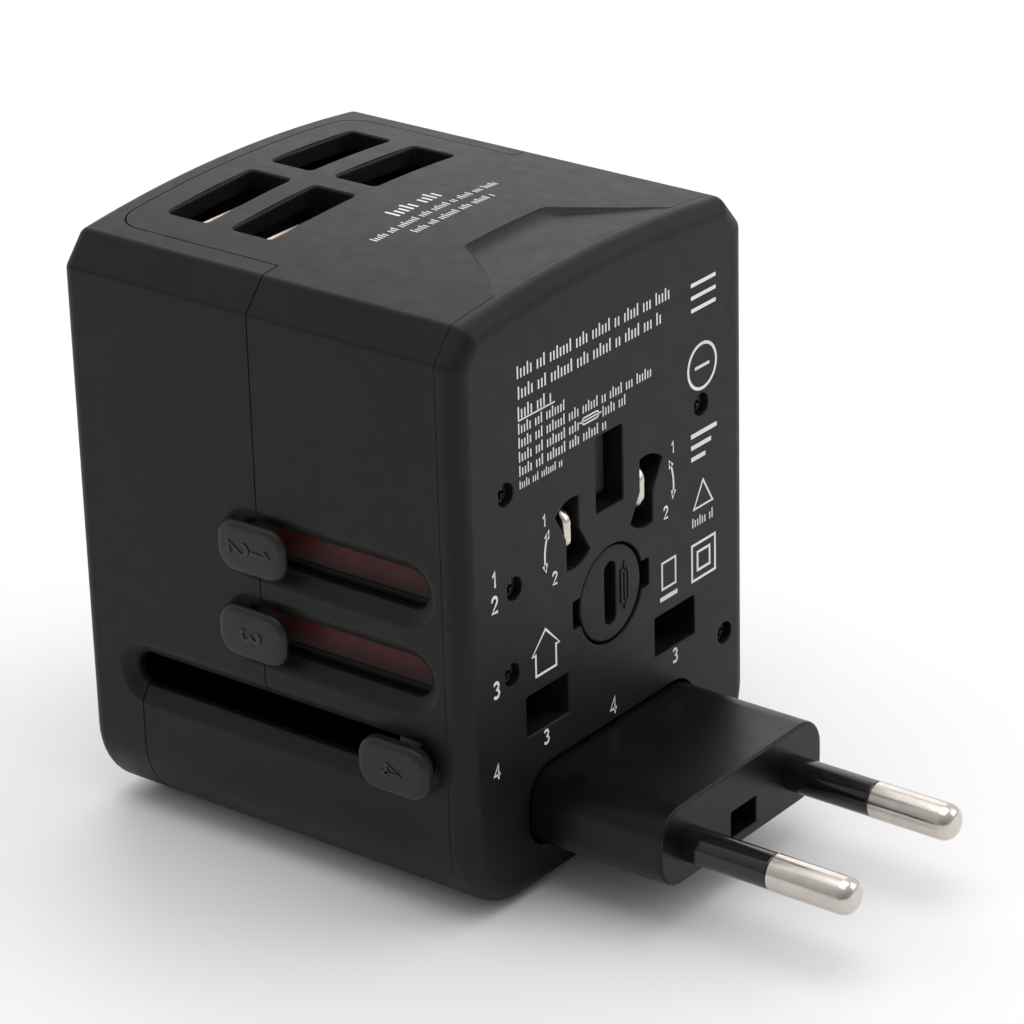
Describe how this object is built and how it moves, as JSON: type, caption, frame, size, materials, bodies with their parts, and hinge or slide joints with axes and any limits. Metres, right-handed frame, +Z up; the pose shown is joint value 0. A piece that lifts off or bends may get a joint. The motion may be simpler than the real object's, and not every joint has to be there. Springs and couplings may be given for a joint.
{
  "type": "universal travel adapter",
  "caption": "Block-shaped universal travel adapter with sliding European, British and American plugs, USB charging ports on top and a multi-standard socket on the back.",
  "frame": {"origin": "middle of the casing's flat bottom face", "axes": "+Z up, towards the USB ports; -Y the way the plugs point, out of the plug face; -X the side with the three slider knobs"},
  "size_m": [0.0514, 0.0875, 0.0662],
  "materials": {
    "casing": "fine matte grain",
    "plug_body": "satin",
    "sleeve": "gloss",
    "nickel": "bright nickel plating",
    "brass": "drawn",
    "steel": "zinc plated",
    "board": "green solder mask",
    "ferrite": "dull",
    "winding": "tape",
    "ceramic": "glazed",
    "contact_block": "smooth black",
    "carriage": "moulded",
    "strip": "dark red, smooth"
  },
  "bodies": {
    "casing": {"front_shell": "casing", "rear_shell": "casing", "plug_face_plate": "casing", "socket_face": "casing", "face_screw_1": "steel", "face_screw_2": "steel", "face_screw_3": "steel", "face_screw_4": "steel", "face_screw_5": "steel", "casing_screw_1": "steel", "casing_screw_2": "steel", "casing_screw_3": "steel", "casing_screw_4": "steel", "fuse_tube": "ceramic", "fuse_end_front": "nickel", "fuse_end_rear": "nickel", "fuse_clip_front": "brass", "fuse_clip_rear": "brass", "live_busbar": "sleeve", "neutral_busbar": "sleeve", "socket_contact_live": "brass", "socket_contact_neutral": "brass", "power_board": "board", "usb_port_1": "nickel", "usb_port_2": "nickel", "usb_port_3": "nickel", "usb_port_4": "nickel", "usb_tongue_1": "contact_block", "usb_tongue_2": "contact_block", "usb_tongue_3": "contact_block", "usb_tongue_4": "contact_block", "transformer_core": "ferrite", "transformer_winding": "winding", "input_capacitor": "plug_body", "output_capacitor": "plug_body", "us_slot_strip": "strip", "uk_slot_strip": "strip"},
    "us_slider": {"us_carriage": "carriage"},
    "us_button": {"us_knob": "casing"},
    "us_blade_left": {"us_blade_left": "nickel", "us_pivot_clip_left": "steel"},
    "us_blade_right": {"us_blade_right": "nickel", "us_pivot_clip_right": "steel"},
    "uk_slider": {"uk_carriage": "carriage", "uk_pin_live": "brass", "uk_pin_neutral": "brass", "uk_sleeve_live": "sleeve", "uk_sleeve_neutral": "sleeve", "uk_earth_pin": "carriage"},
    "uk_button": {"uk_knob": "casing"},
    "eu_slider": {"eu_plug_body": "plug_body", "eu_pin_live": "nickel", "eu_pin_neutral": "nickel", "eu_sleeve_live": "sleeve", "eu_sleeve_neutral": "sleeve"},
    "eu_button": {"eu_knob": "casing"},
    "fuse_cap": {"fuse_cap": "casing"},
    "shutter": {"socket_shutter": "carriage", "shutter_spring_left": "steel", "shutter_spring_right": "steel"}
  },
  "joints": [
    {"name": "us_slide", "type": "slide", "parent": "casing", "child": "us_slider", "axis": [0, -1, 0], "range_m": [0, 0.0188]},
    {"name": "us_press", "type": "slide", "parent": "us_slider", "child": "us_button", "axis": [1, 0, 0], "range_m": [0, 0.0008], "stiffness_N_per_m": 500, "springref_m": -0.001},
    {"name": "us_blade_left_turn", "type": "hinge", "parent": "us_slider", "child": "us_blade_left", "pos_m": [-0.00635, 0.0005, 0.0377], "axis": [0, -1, 0], "range_deg": [0, 30]},
    {"name": "us_blade_right_turn", "type": "hinge", "parent": "us_slider", "child": "us_blade_right", "pos_m": [0.00635, 0.0005, 0.0377], "axis": [0, 1, 0], "range_deg": [0, 30]},
    {"name": "uk_slide", "type": "slide", "parent": "casing", "child": "uk_slider", "axis": [0, -1, 0], "range_m": [0, 0.0188]},
    {"name": "uk_press", "type": "slide", "parent": "uk_slider", "child": "uk_button", "axis": [1, 0, 0], "range_m": [0, 0.0008], "stiffness_N_per_m": 500, "springref_m": -0.001},
    {"name": "eu_slide", "type": "slide", "parent": "casing", "child": "eu_slider", "axis": [0, 1, 0], "range_m": [0, 0.0362]},
    {"name": "eu_press", "type": "slide", "parent": "eu_slider", "child": "eu_button", "axis": [1, 0, 0], "range_m": [0, 0.0008], "stiffness_N_per_m": 500, "springref_m": -0.001},
    {"name": "fuse_cap_turn", "type": "hinge", "parent": "casing", "child": "fuse_cap", "pos_m": [0, -0.0245, 0.0285], "axis": [0, -1, 0], "range_deg": [0, 90]},
    {"name": "shutter_lift", "type": "slide", "parent": "casing", "child": "shutter", "axis": [0, 0, 1], "range_m": [0, 0.009], "stiffness_N_per_m": 60, "springref_m": -0.003, "deforming": ["shutter_spring_left", "shutter_spring_right"]}
  ]
}
